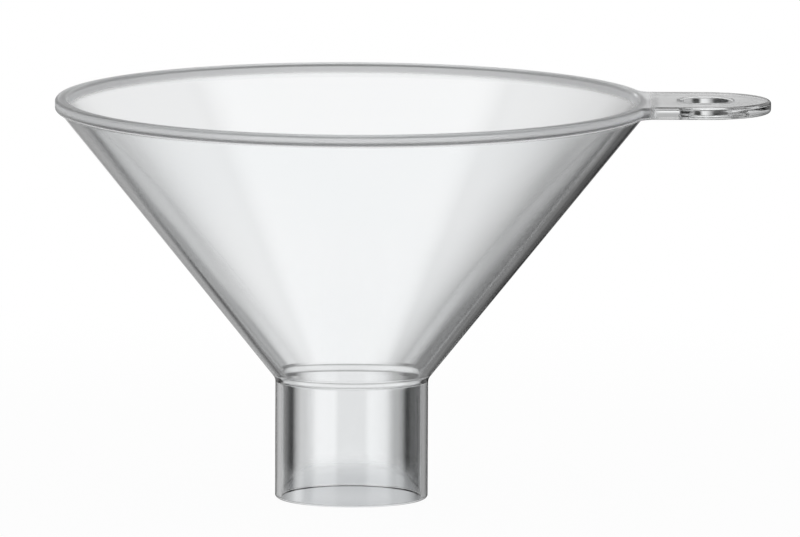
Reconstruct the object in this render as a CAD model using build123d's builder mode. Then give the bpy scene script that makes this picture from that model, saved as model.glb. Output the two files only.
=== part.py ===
"""A clear moulded powder funnel in millimetres, mouth up, +Z along its axis, stem foot on Z = 0."""

import os
from math import cos, isclose, radians, tan

from build123d import *

# Driving sizes of the bowl and the stem
rim_diameter = 100.0
stem_diameter = 25.7
stem_length = 20.2
cone_half_angle = 38.8
cone_wall = 1.5
stem_wall = 1.0
throat_round = 2.0
foot_outer_round = 0.5
foot_inner_round = 0.2

# Driving sizes of the bead round the mouth
bead_width = 2.1
bead_height = 2.1
bead_rise = 0.15
bead_round = 0.6
lip_root_round = 0.3

# Driving sizes of the hanging tab, which lies level with the bead and points along +X
tab_width = 22.0
tab_reach = 20.2
tab_root_round = 3.0
tab_hole_diameter = 9.0
tab_hole_round = 0.4

# Sizes that follow from the driving ones
rim_radius = rim_diameter / 2
stem_radius = stem_diameter / 2
bore_radius = stem_radius - stem_wall
lip_radius = rim_radius - bead_width
tab_end_radius = tab_width / 2
tab_centre = rim_radius + tab_reach - tab_end_radius
slope = tan(radians(cone_half_angle))
wall_across = cone_wall / cos(radians(cone_half_angle))
throat_level = stem_length + (bore_radius + wall_across - stem_radius) / slope

# The cone's outer line reaches the rim's full radius a little below half the bead's height
cone_end = stem_length + (rim_radius - stem_radius) / slope
bead_middle = cone_end + bead_rise
bead_bottom = bead_middle - bead_height / 2

# The wall ends inside the bead, halfway between the foot of its lip and the cone's full radius
lip_root_level = cone_end - (bead_width - wall_across) / slope
wall_top = (lip_root_level + cone_end) / 2
wall_top_radius = rim_radius - (cone_end - wall_top) * slope

# The bead and the tab are one flat plate with the same rounded edge all round
with BuildPart() as rim:
    with BuildSketch(Plane.XY.offset(bead_bottom)) as rim_outline:
        Circle(rim_radius)
        with Locations((tab_centre / 2, 0)):
            Rectangle(tab_centre, tab_width)
        with Locations((tab_centre, 0)):
            Circle(tab_end_radius)
        tab_roots = rim_outline.vertices().filter_by(lambda corner: 0 < corner.X < tab_centre)
        fillet(tab_roots, radius=tab_root_round)
        Circle(lip_radius, mode=Mode.SUBTRACT)
    extrude(amount=bead_height)
    top_and_bottom = rim.faces().filter_by(Axis.Z)
    fillet(top_and_bottom.edges(), radius=bead_round)
    with Locations((tab_centre, 0, bead_middle)):
        Hole(tab_hole_diameter / 2)
    hole_edges = rim.edges(Select.LAST).filter_by(GeomType.CIRCLE)
    fillet(hole_edges, radius=tab_hole_round)

# The stem and the cone are one revolved wall that runs up into the bead
with BuildPart() as funnel:
    with BuildSketch(Plane.XZ):
        with BuildLine():
            Polyline(
                (bore_radius, 0),
                (stem_radius, 0),
                (stem_radius, stem_length),
                (wall_top_radius, wall_top),
                (wall_top_radius - wall_across, wall_top),
                (bore_radius, throat_level),
                close=True,
            )
        make_face()
    revolve(axis=Axis.Z)
    rings = funnel.edges().filter_by(GeomType.CIRCLE).group_by(Axis.Z)
    fillet(rings[1] + rings[2], radius=throat_round)
    foot_rings = funnel.edges().filter_by(GeomType.CIRCLE).group_by(Axis.Z)[0].sort_by(SortBy.RADIUS)
    fillet(foot_rings[-1], radius=foot_outer_round)
    foot_rings = funnel.edges().filter_by(GeomType.CIRCLE).group_by(Axis.Z)[0].sort_by(SortBy.RADIUS)
    fillet(foot_rings[0], radius=foot_inner_round)
    add(rim.part)
    rings = funnel.edges().filter_by(GeomType.CIRCLE)
    lip_rings = rings.filter_by(lambda ring: isclose(ring.radius, lip_radius))
    fillet(lip_rings.sort_by(Axis.Z)[0], radius=lip_root_round)

os.makedirs("parts", exist_ok=True)
funnel.part.label = "funnel"
export_step(funnel.part, "parts/funnel.step")
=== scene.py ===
"""Dresses the clear powder funnel: its plastic, a paper floor, the studio's panels and the camera."""

from math import atan2, cos, pi, radians, sin, sqrt, tan

import bpy
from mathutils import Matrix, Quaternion, Vector
from mathutils.geometry import tessellate_polygon


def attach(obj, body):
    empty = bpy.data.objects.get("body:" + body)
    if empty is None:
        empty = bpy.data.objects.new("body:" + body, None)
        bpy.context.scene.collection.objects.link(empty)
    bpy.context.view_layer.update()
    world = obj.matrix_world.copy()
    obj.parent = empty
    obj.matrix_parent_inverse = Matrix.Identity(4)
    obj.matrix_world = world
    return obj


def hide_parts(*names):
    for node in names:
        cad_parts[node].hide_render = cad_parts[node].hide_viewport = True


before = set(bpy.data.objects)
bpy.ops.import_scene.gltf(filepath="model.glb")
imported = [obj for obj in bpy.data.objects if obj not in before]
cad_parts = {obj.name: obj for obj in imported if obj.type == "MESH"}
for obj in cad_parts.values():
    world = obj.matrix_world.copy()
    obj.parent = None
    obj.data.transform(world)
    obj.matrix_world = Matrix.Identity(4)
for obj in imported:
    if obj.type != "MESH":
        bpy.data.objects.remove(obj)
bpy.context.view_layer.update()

# Sizes of the funnel in millimetres, the same as the solid's
RIM_RADIUS = 50.0
STEM_RADIUS = 12.85
STEM_LENGTH = 20.2
STEM_WALL = 1.0
CONE_HALF_ANGLE = radians(38.8)
CONE_WALL = 1.5
THROAT_ROUND = 2.0
FOOT_OUTER_ROUND = 0.5
FOOT_INNER_ROUND = 0.2
BEAD_WIDTH = 2.1
BEAD_HEIGHT = 2.1
BEAD_RISE = 0.15
BEAD_ROUND = 0.6
LIP_ROOT_ROUND = 0.3
TAB_WIDTH = 22.0
TAB_REACH = 20.2
TAB_ROOT_ROUND = 3.0
TAB_HOLE_RADIUS = 4.5
TAB_HOLE_ROUND = 0.4
METRES = 0.001

# Fineness of the mesh: steps to a rounded edge, to a turn of the rim, and to the tab's end or hole
ROUND_STEPS = 12
TURN_STEPS = 540
TAB_STEPS = 72

# Turns in radians, and the half turn that the studio counts in degrees
QUARTER_TURN = pi / 2.0
FULL_TURN = 2.0 * pi
HALF_TURN_DEGREES = 180.0

# Clear plastic: tints of one wall, roughness of the polish, and noise scales per metre
PLASTIC_IOR = 1.59
CLEAR_TINT = (0.990, 0.996, 1.0, 1.0)
DEEP_TINT = (0.976, 0.988, 0.994, 1.0)
TINT_SCALE = 30.0
TINT_DETAIL = 2.0
POLISH_BEST = 0.012
POLISH_WORST = 0.035
POLISH_SCALE = 45.0
POLISH_DETAIL = 3.0
SCUFF_HAZE = 0.008
SCUFF_SCALE = 1600.0
SCUFF_DETAIL = 2.0
RIPPLE_HEIGHT = 0.00004
RIPPLE_SCALE = 60.0
RIPPLE_DETAIL = 1.0
NOISE_LOW = 0.3
NOISE_HIGH = 0.7
PASSING_LIGHT = (0.86, 0.87, 0.88, 1.0)

# Rubbed rim: roughness added from just under the bead upwards, but not on the tab, in metres
RIM_HAZE = 0.32
RIM_START = 0.0653
RIM_FADE = 0.0010
TAB_START = 0.0490
TAB_FADE = 0.0030

# Camera: a long lens a little above the mouth, rolled by a fraction of a degree
CAMERA_DISTANCE = 2.9
CAMERA_ELEVATION = radians(7.7)
CAMERA_ROLL = radians(0.25)
CAMERA_AIM = Vector((0.00803, 0.0, 0.0388))
SENSOR_WIDTH = 36.0
PHOTO_WIDTH = 800
PIXELS_PER_METRE = 5950.0

# Studio: azimuth 0 is straight behind the funnel and grows towards +X, in degrees
ROOM_LEVEL = 0.04
PANEL_MEASURES = ("Azimuth", "Elevation", "Half Width", "Half Height", "Soft Width", "Soft Height")
# name, azimuth, elevation, half width, half height, soft width, soft height, level
PANELS = (
    ("back paper", -1.0, -4.0, 1.5, 6.5, 6.0, 1.0, 0.86),
    ("low paper", -2.0, -11.5, 4.0, 0.5, 7.0, 3.0, 0.65),
    ("overhead softbox", 0.0, 90.0, 180.0, 32.0, 1.0, 12.0, 1.6),
    ("upper walls", 0.0, 30.0, 180.0, 17.0, 1.0, 14.0, 0.75),
    ("table pool", 0.0, -90.0, 180.0, 30.0, 1.0, 29.0, 0.8),
    ("left strip card", -17.0, -18.5, 9.5, 2.5, 1.5, 7.5, 0.4),
    ("left card", -37.0, -30.0, 9.5, 7.5, 4.5, 7.5, 0.28),
    ("far left card", -50.0, -42.0, 13.5, 10.0, 10.0, 10.0, 0.14),
    ("right card", 45.0, -37.0, 14.5, 13.0, 14.0, 14.0, 0.25),
    ("right strip card", 20.0, -22.0, 6.0, 5.0, 6.0, 6.0, 0.12),
    ("left horizon", -40.0, -6.0, 18.0, 5.0, 9.0, 9.0, 0.5),
    ("right horizon", 35.0, -6.0, 13.0, 15.0, 6.5, 12.5, 0.35),
    ("behind the camera", 180.0, -6.0, 20.0, 12.0, 20.0, 14.0, 0.35),
    ("front left window", -138.0, -6.0, 13.0, 10.0, 15.0, 10.0, 1.15),
    ("front right window", 137.0, -6.0, 12.0, 10.0, 15.0, 10.0, 1.05),
    ("side paper", -90.0, -3.0, 6.0, 6.0, 6.0, 6.0, 1.0),
    ("low left paper", -45.0, -25.0, 5.0, 5.0, 6.0, 6.0, 1.0),
    ("front right paper", 135.0, -15.0, 6.0, 6.0, 6.0, 6.0, 1.0),
)

# Floor: white paper with a faint shadow round the funnel, and a patch of painted shade by the foot that is
# seen only through the stem
FLOOR_SIZE = 6.0
WHITE = (1.0, 1.0, 1.0, 1.0)
MATT_PAPER = (0.7, 0.7, 0.7, 1.0)
SHADOW_RADIUS = 0.10
SHADOW_FADE = 0.14
SHADOW_DEPTH = 0.06
# Painted shade by the foot, seen only through the plastic. The glow it takes away leaves the matt paper,
# which the studio still lights and shades, so the patch is partly real shade and partly painted shade
FOOT_SHADE_RADIUS = 0.022
FOOT_SHADE_FADE = 0.030
FOOT_SHADE_HALF_WIDTH = 0.005
FOOT_SHADE_SIDE_FADE = 0.012
FOOT_SHADE_DEPTH = 0.92


def turned(corner, before, after, size):
    """Rounds one corner of a flat path, as points with the outward normal to the left of the path."""
    into = (corner - before).normalized()
    out = (after - corner).normalized()
    bend = into.angle_signed(out)
    side = 1.0 if bend > 0.0 else -1.0
    reach = abs(size * tan(bend / 2.0))
    start = corner - into * reach
    left = Vector((-into.y, into.x))
    # angle_signed grows clockwise, so a positive bend turns to the right, away from the left-hand normal
    centre = start - left * size * side
    points = []
    for step in range(ROUND_STEPS + 1):
        turn = -bend * step / ROUND_STEPS
        arm = Vector((left.x * cos(turn) - left.y * sin(turn), left.x * sin(turn) + left.y * cos(turn)))
        points.append((centre + arm * size * side, arm))
    return points


def wall_profile():
    """Gives the wall's section from under the bead round the foot to the lip, and the bead's levels."""
    slope = tan(CONE_HALF_ANGLE)
    across = CONE_WALL / cos(CONE_HALF_ANGLE)
    cone_end = STEM_LENGTH + (RIM_RADIUS - STEM_RADIUS) / slope
    middle = cone_end + BEAD_RISE
    top = middle + BEAD_HEIGHT / 2.0
    bottom = middle - BEAD_HEIGHT / 2.0
    bore = STEM_RADIUS - STEM_WALL
    throat = STEM_LENGTH + (bore + across - STEM_RADIUS) / slope
    under_bead = Vector((RIM_RADIUS - (cone_end - bottom) * slope, bottom))
    lip_radius = RIM_RADIUS - BEAD_WIDTH
    lip_root = Vector((lip_radius, cone_end - (BEAD_WIDTH - across) / slope))
    lip = Vector((lip_radius, top))
    rim = Vector((RIM_RADIUS, top))
    corners = (
        (Vector((STEM_RADIUS, STEM_LENGTH)), THROAT_ROUND),
        (Vector((STEM_RADIUS, 0.0)), FOOT_OUTER_ROUND),
        (Vector((bore, 0.0)), FOOT_INNER_ROUND),
        (Vector((bore, throat)), THROAT_ROUND),
        (lip_root, LIP_ROOT_ROUND),
        (lip, BEAD_ROUND),
    )
    path = [under_bead] + [corner for corner, size in corners] + [rim]
    first = (path[1] - path[0]).normalized()
    profile = [(under_bead, Vector((-first.y, first.x)))]
    for index, (corner, size) in enumerate(corners):
        profile += turned(corner, path[index], path[index + 2], size)
    return profile, top, bottom


def rim_outline():
    """Gives the outline of the bead and its tab, with outward normals, and the centre of the tab's hole."""
    half = TAB_WIDTH / 2.0
    end_centre = Vector((RIM_RADIUS + TAB_REACH - half, 0.0))
    root_across = half + TAB_ROOT_ROUND
    root_along = sqrt((RIM_RADIUS + TAB_ROOT_ROUND) ** 2 - root_across ** 2)
    root_angle = atan2(root_across, root_along)
    outline = []

    def arc(centre, size, start, end, steps, facing=1.0):
        """Adds an arc whose normals face away from its centre, or towards it where facing is -1."""
        for step in range(steps):
            angle = start + (end - start) * step / steps
            arm = Vector((cos(angle), sin(angle)))
            outline.append((centre + arm * size, arm * facing))

    arc(end_centre, half, -QUARTER_TURN, QUARTER_TURN, TAB_STEPS)
    outline.append((end_centre + Vector((0.0, half)), Vector((0.0, 1.0))))
    left_root = Vector((root_along, root_across))
    arc(left_root, TAB_ROOT_ROUND, -QUARTER_TURN, root_angle - pi, ROUND_STEPS, facing=-1.0)
    arc(Vector((0.0, 0.0)), RIM_RADIUS, root_angle, FULL_TURN - root_angle, TURN_STEPS)
    right_root = Vector((root_along, -root_across))
    arc(right_root, TAB_ROOT_ROUND, pi - root_angle, QUARTER_TURN, ROUND_STEPS, facing=-1.0)
    outline.append((Vector((root_along, -half)), Vector((0.0, -1.0))))
    return outline, end_centre


class Skin:
    """Collects the funnel's surface as closed rings of points, the strips between them and flat faces."""

    def __init__(self):
        self.points = []
        self.faces = []
        self.normals = []

    def ring(self, places, normals):
        """Adds a closed ring of points and gives each point's number with its normal."""
        first = len(self.points)
        self.points += places
        return list(zip(range(first, len(self.points)), normals))

    def strips(self, rings):
        """Joins each ring to the one before it by four-sided faces that carry the rings' normals."""
        for before, ring in zip(rings, rings[1:]):
            for here in range(len(ring)):
                there = (here + 1) % len(ring)
                corners = (ring[here], ring[there], before[there], before[here])
                self.faces.append(tuple(number for number, normal in corners))
                self.normals += [normal for number, normal in corners]

    def flat(self, rings, normal):
        """Fills a flat face between an outer ring and the rings of its openings."""
        loops = [[number for number, ring_normal in ring] for ring in rings]
        numbers = [number for loop in loops for number in loop]
        outlines = [[Vector(self.points[number]) for number in loop] for loop in loops]
        for corners in tessellate_polygon(outlines):
            face = [numbers[corner] for corner in corners]
            a, b, c = (Vector(self.points[number]) for number in face)
            if (b - a).cross(c - a).dot(normal) < 0.0:
                face.reverse()
            self.faces.append(tuple(face))
            self.normals += [normal] * len(face)


def add_wall(skin, profile):
    """Turns the wall's section about the axis, and gives its rings under the bead and at the lip."""
    turns = [FULL_TURN * step / TURN_STEPS for step in range(TURN_STEPS)]
    rings = []
    for place, normal in profile:
        places = [(place.x * cos(turn), place.x * sin(turn), place.y) for turn in turns]
        normals = [Vector((normal.x * cos(turn), normal.x * sin(turn), normal.y)) for turn in turns]
        rings.append(skin.ring(places, normals))
    skin.strips(rings)
    return rings[0], rings[-1]


def add_rim_edge(skin, outline, top, bottom):
    """Rounds the outer edge of the bead and its tab, and gives its top and bottom rings."""
    rings = []
    for level, start in ((top - BEAD_ROUND, QUARTER_TURN), (bottom + BEAD_ROUND, 0.0)):
        for step in range(ROUND_STEPS + 1):
            tilt = start - QUARTER_TURN * step / ROUND_STEPS
            inset = BEAD_ROUND * (1.0 - cos(tilt))
            height = level + BEAD_ROUND * sin(tilt)
            inner = [place - normal * inset for place, normal in outline]
            places = [(place.x, place.y, height) for place in inner]
            normals = [Vector((n.x * cos(tilt), n.y * cos(tilt), sin(tilt))) for place, n in outline]
            rings.append(skin.ring(places, normals))
    skin.strips(rings)
    return rings[0], rings[-1]


def add_tab_hole(skin, centre, top, bottom):
    """Lines the tab's hole and rounds its two edges, and gives its top and bottom rings."""
    turns = [FULL_TURN * step / TAB_STEPS for step in range(TAB_STEPS)]
    arms = [Vector((cos(turn), sin(turn))) for turn in turns]
    rings = []
    for sign, level in ((1.0, top), (-1.0, bottom)):
        for step in range(ROUND_STEPS + 1):
            share = step / ROUND_STEPS if sign > 0.0 else 1.0 - step / ROUND_STEPS
            tilt = QUARTER_TURN * share
            size = TAB_HOLE_RADIUS + TAB_HOLE_ROUND * (1.0 - sin(tilt))
            height = level - sign * TAB_HOLE_ROUND * (1.0 - cos(tilt))
            around = [centre + arm * size for arm in arms]
            places = [(place.x, place.y, height) for place in around]
            normals = [Vector((-arm.x * sin(tilt), -arm.y * sin(tilt), sign * cos(tilt))) for arm in arms]
            rings.append(skin.ring(places, normals))
    # The hole's skin faces its own axis, so its rings are joined from the bottom up
    skin.strips(rings[::-1])
    return rings[0], rings[-1]


def funnel_mesh():
    """Builds the funnel's skin: the turned wall, the bead and tab round the rim, and the tab's hole."""
    skin = Skin()
    profile, top, bottom = wall_profile()
    outline, hole_centre = rim_outline()
    under_bead, lip = add_wall(skin, profile)
    edge_top, edge_bottom = add_rim_edge(skin, outline, top, bottom)
    hole_top, hole_bottom = add_tab_hole(skin, hole_centre, top, bottom)
    skin.flat((edge_top, lip, hole_top), Vector((0.0, 0.0, 1.0)))
    skin.flat((edge_bottom, under_bead, hole_bottom), Vector((0.0, 0.0, -1.0)))

    mesh = bpy.data.meshes.new("clear_funnel")
    mesh.from_pydata([[value * METRES for value in point] for point in skin.points], [], skin.faces)
    mesh.shade_smooth()
    mesh.normals_split_custom_set([normal.normalized() for normal in skin.normals])
    return mesh


def link(tree, source, target):
    """Joins an output socket to an input socket."""
    tree.links.new(source, target)


def math_node(tree, operation, *values):
    """Adds a maths node whose inputs are sockets or plain numbers, and gives its output."""
    node = tree.nodes.new("ShaderNodeMath")
    node.operation = operation
    for socket, value in zip(node.inputs, values):
        if isinstance(value, bpy.types.NodeSocket):
            link(tree, value, socket)
        else:
            socket.default_value = value
    return node.outputs[0]


def axes(tree, vector):
    """Splits a vector and gives its sockets, which are named X, Y and Z."""
    node = tree.nodes.new("ShaderNodeSeparateXYZ")
    link(tree, vector, node.inputs[0])
    return node.outputs


def soft_step(tree, distance, reach, softness):
    """Gives 1 within the reach, falling smoothly to 0 over the softness."""
    node = tree.nodes.new("ShaderNodeMapRange")
    node.interpolation_type = "SMOOTHSTEP"
    link(tree, distance, node.inputs["Value"])
    if isinstance(reach, bpy.types.NodeSocket):
        link(tree, reach, node.inputs["From Min"])
        link(tree, math_node(tree, "ADD", reach, softness), node.inputs["From Max"])
    else:
        node.inputs["From Min"].default_value = reach
        node.inputs["From Max"].default_value = reach + softness
    node.inputs["To Min"].default_value = 1.0
    node.inputs["To Max"].default_value = 0.0
    return node.outputs["Result"]


def mixed(tree, share, first, second):
    """Mixes two shader nodes by the second one's share, and gives the mix."""
    mix = tree.nodes.new("ShaderNodeMixShader")
    link(tree, share, mix.inputs["Fac"])
    link(tree, first.outputs[0], mix.inputs[1])
    link(tree, second.outputs[0], mix.inputs[2])
    return mix


def soft_panel_group():
    """Makes the mask of one soft-edged panel of the studio, by the direction in which it is seen."""
    group = bpy.data.node_groups.new("soft panel", "ShaderNodeTree")
    sockets = group.interface
    sockets.new_socket("Direction", in_out="INPUT", socket_type="NodeSocketVector")
    for name in PANEL_MEASURES:
        sockets.new_socket(name, in_out="INPUT", socket_type="NodeSocketFloat")
    sockets.new_socket("Mask", in_out="OUTPUT", socket_type="NodeSocketFloat")
    given = group.nodes.new("NodeGroupInput").outputs
    result = group.nodes.new("NodeGroupOutput").inputs
    direction = axes(group, given["Direction"])
    azimuth = math_node(group, "DEGREES", math_node(group, "ARCTAN2", direction["X"], direction["Y"]))
    elevation = math_node(group, "DEGREES", math_node(group, "ARCSINE", direction["Z"]))
    turn = math_node(group, "SUBTRACT", azimuth, given["Azimuth"])
    short_turn = math_node(group, "WRAP", turn, HALF_TURN_DEGREES, -HALF_TURN_DEGREES)
    rise = math_node(group, "SUBTRACT", elevation, given["Elevation"])
    across = math_node(group, "ABSOLUTE", short_turn)
    above = math_node(group, "ABSOLUTE", rise)
    width_mask = soft_step(group, across, given["Half Width"], given["Soft Width"])
    height_mask = soft_step(group, above, given["Half Height"], given["Soft Height"])
    link(group, math_node(group, "MULTIPLY", width_mask, height_mask), result["Mask"])
    return group


def studio_world():
    """Lights the funnel with a dim room and its soft panels, and shows the camera plain white."""
    world = bpy.data.worlds.new("studio")
    bpy.context.scene.world = world
    world.use_nodes = True
    tree = world.node_tree
    tree.nodes.clear()
    direction = tree.nodes.new("ShaderNodeTexCoord").outputs["Generated"]
    group = soft_panel_group()
    level = ROOM_LEVEL
    for name, *measures, strength in PANELS:
        panel = tree.nodes.new("ShaderNodeGroup")
        panel.node_tree = group
        panel.label = name
        link(tree, direction, panel.inputs["Direction"])
        for socket, measure in zip(PANEL_MEASURES, measures):
            panel.inputs[socket].default_value = measure
        lit = math_node(tree, "MULTIPLY", panel.outputs["Mask"], strength)
        level = math_node(tree, "MAXIMUM", lit, level)
    room = tree.nodes.new("ShaderNodeBackground")
    link(tree, level, room.inputs["Color"])
    white = tree.nodes.new("ShaderNodeBackground")
    white.inputs["Color"].default_value = WHITE
    to_camera = tree.nodes.new("ShaderNodeLightPath").outputs["Is Camera Ray"]
    seen = mixed(tree, to_camera, room, white)
    link(tree, seen.outputs[0], tree.nodes.new("ShaderNodeOutputWorld").inputs["Surface"])


def white_paper():
    """Makes the paper: white with a faint shadow, and painted shade by the foot that only shows through the
    plastic.
    """
    paper = bpy.data.materials.new("white_paper")
    paper.use_nodes = True
    tree = paper.node_tree
    tree.nodes.clear()
    place = tree.nodes.new("ShaderNodeTexCoord").outputs["Object"]
    length = tree.nodes.new("ShaderNodeVectorMath")
    length.operation = "LENGTH"
    link(tree, place, length.inputs[0])
    distance = length.outputs["Value"]
    through_plastic = tree.nodes.new("ShaderNodeLightPath").outputs["Is Transmission Ray"]

    shadow = soft_step(tree, distance, SHADOW_RADIUS, SHADOW_FADE)
    open_glow = math_node(tree, "SUBTRACT", 1.0, math_node(tree, "MULTIPLY", shadow, SHADOW_DEPTH))
    # Painted shade: seen through the plastic, the paper loses most of its glow, so it shows only its matt
    # share, which the studio lights and shades
    painted_dimming = math_node(tree, "MULTIPLY", through_plastic, FOOT_SHADE_DEPTH)
    glow_share = math_node(tree, "SUBTRACT", open_glow, painted_dimming)
    glow = tree.nodes.new("ShaderNodeEmission")
    glow.inputs["Color"].default_value = WHITE
    matt = tree.nodes.new("ShaderNodeBsdfDiffuse")
    matt.inputs["Color"].default_value = MATT_PAPER
    sheet = mixed(tree, glow_share, matt, glow)

    # The pool is the patch of painted shade by the foot and behind it; elsewhere the plastic sees through
    # the paper to the studio
    aside = math_node(tree, "ABSOLUTE", axes(tree, place)["X"])
    foot_shade_side = soft_step(tree, aside, FOOT_SHADE_HALF_WIDTH, FOOT_SHADE_SIDE_FADE)
    pool = math_node(tree, "MULTIPLY", soft_step(tree, distance, FOOT_SHADE_RADIUS, FOOT_SHADE_FADE), foot_shade_side)
    off_foot_shade = math_node(tree, "SUBTRACT", 1.0, pool)
    clear_share = math_node(tree, "MULTIPLY", through_plastic, off_foot_shade)
    clear = tree.nodes.new("ShaderNodeBsdfTransparent")
    seen = mixed(tree, clear_share, sheet, clear)
    link(tree, seen.outputs[0], tree.nodes.new("ShaderNodeOutputMaterial").inputs["Surface"])
    return paper


def paper_floor():
    """Lays the paper under the funnel, unseen in reflections, which show the studio's panels instead."""
    bpy.ops.mesh.primitive_plane_add(size=FLOOR_SIZE, location=(0.0, 0.0, 0.0))
    floor = bpy.context.active_object
    floor.name = "paper_floor"
    floor.visible_glossy = False
    floor.visible_diffuse = False
    floor.data.materials.append(white_paper())


def noise(tree, place, scale, detail):
    """Adds a noise texture over the funnel and gives its value, which stays mostly near its middle."""
    node = tree.nodes.new("ShaderNodeTexNoise")
    node.inputs["Scale"].default_value = scale
    node.inputs["Detail"].default_value = detail
    link(tree, place, node.inputs["Vector"])
    return node.outputs["Fac"]


def spread(tree, value, low, high):
    """Maps a noise value's usual span onto the range from low to high."""
    node = tree.nodes.new("ShaderNodeMapRange")
    link(tree, value, node.inputs["Value"])
    node.inputs["From Min"].default_value = NOISE_LOW
    node.inputs["From Max"].default_value = NOISE_HIGH
    node.inputs["To Min"].default_value = low
    node.inputs["To Max"].default_value = high
    return node.outputs["Result"]


def rubbed_polish(tree, place):
    """Gives the plastic's roughness: a polish that varies, fine scuffs, and a bead that is rubbed dull."""
    polish = spread(tree, noise(tree, place, POLISH_SCALE, POLISH_DETAIL), POLISH_BEST, POLISH_WORST)
    scuffs = spread(tree, noise(tree, place, SCUFF_SCALE, SCUFF_DETAIL), -SCUFF_HAZE, SCUFF_HAZE)
    wall = math_node(tree, "ADD", polish, scuffs)
    along = axes(tree, place)
    above = math_node(tree, "SUBTRACT", 1.0, soft_step(tree, along["Z"], RIM_START, RIM_FADE))
    off_tab = soft_step(tree, along["X"], TAB_START, TAB_FADE)
    bead = math_node(tree, "MULTIPLY", above, off_tab)
    return math_node(tree, "ADD", wall, math_node(tree, "MULTIPLY", bead, RIM_HAZE))


def clear_plastic():
    """Makes the clear plastic: a faint cool tint, a rubbed polish, soft ripples and a light shadow."""
    plastic = bpy.data.materials.new("clear_plastic")
    plastic.use_nodes = True
    tree = plastic.node_tree
    shader = tree.nodes["Principled BSDF"]
    shader.inputs["IOR"].default_value = PLASTIC_IOR
    shader.inputs["Transmission Weight"].default_value = 1.0
    place = tree.nodes.new("ShaderNodeTexCoord").outputs["Object"]

    tint = tree.nodes.new("ShaderNodeMix")
    tint.data_type = "RGBA"
    tint_share = spread(tree, noise(tree, place, TINT_SCALE, TINT_DETAIL), 0.0, 1.0)
    link(tree, tint_share, tint.inputs["Factor"])
    tint.inputs["A"].default_value = CLEAR_TINT
    tint.inputs["B"].default_value = DEEP_TINT
    link(tree, tint.outputs["Result"], shader.inputs["Base Color"])
    link(tree, rubbed_polish(tree, place), shader.inputs["Roughness"])

    ripples = tree.nodes.new("ShaderNodeBump")
    ripples.inputs["Distance"].default_value = RIPPLE_HEIGHT
    link(tree, noise(tree, place, RIPPLE_SCALE, RIPPLE_DETAIL), ripples.inputs["Height"])
    link(tree, ripples.outputs["Normal"], shader.inputs["Normal"])

    passing = tree.nodes.new("ShaderNodeBsdfTransparent")
    passing.inputs["Color"].default_value = PASSING_LIGHT
    paths = tree.nodes.new("ShaderNodeLightPath").outputs
    light_share = math_node(tree, "MAXIMUM", paths["Is Shadow Ray"], paths["Is Diffuse Ray"])
    seen = mixed(tree, light_share, shader, passing)
    link(tree, seen.outputs[0], tree.nodes["Material Output"].inputs["Surface"])
    return plastic


def photo_camera():
    """Sets the camera at the photograph's angle, distance and framing."""
    data = bpy.data.cameras.new("camera")
    camera = bpy.data.objects.new("camera", data)
    bpy.context.scene.collection.objects.link(camera)
    data.sensor_width = SENSOR_WIDTH
    data.lens = PIXELS_PER_METRE * CAMERA_DISTANCE * SENSOR_WIDTH / PHOTO_WIDTH
    towards_camera = Vector((0.0, -cos(CAMERA_ELEVATION), sin(CAMERA_ELEVATION)))
    camera.location = CAMERA_AIM + towards_camera * CAMERA_DISTANCE
    camera.rotation_mode = "QUATERNION"
    level = (-towards_camera).to_track_quat("-Z", "Y")
    camera.rotation_quaternion = level @ Quaternion((0.0, 0.0, 1.0), CAMERA_ROLL)
    bpy.context.scene.camera = camera


funnel = bpy.data.objects.new("clear_funnel", funnel_mesh())
bpy.context.scene.collection.objects.link(funnel)
funnel.data.materials.append(clear_plastic())
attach(funnel, "root")
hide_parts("funnel")
paper_floor()
studio_world()
photo_camera()
bpy.context.scene.view_settings.view_transform = "Standard"
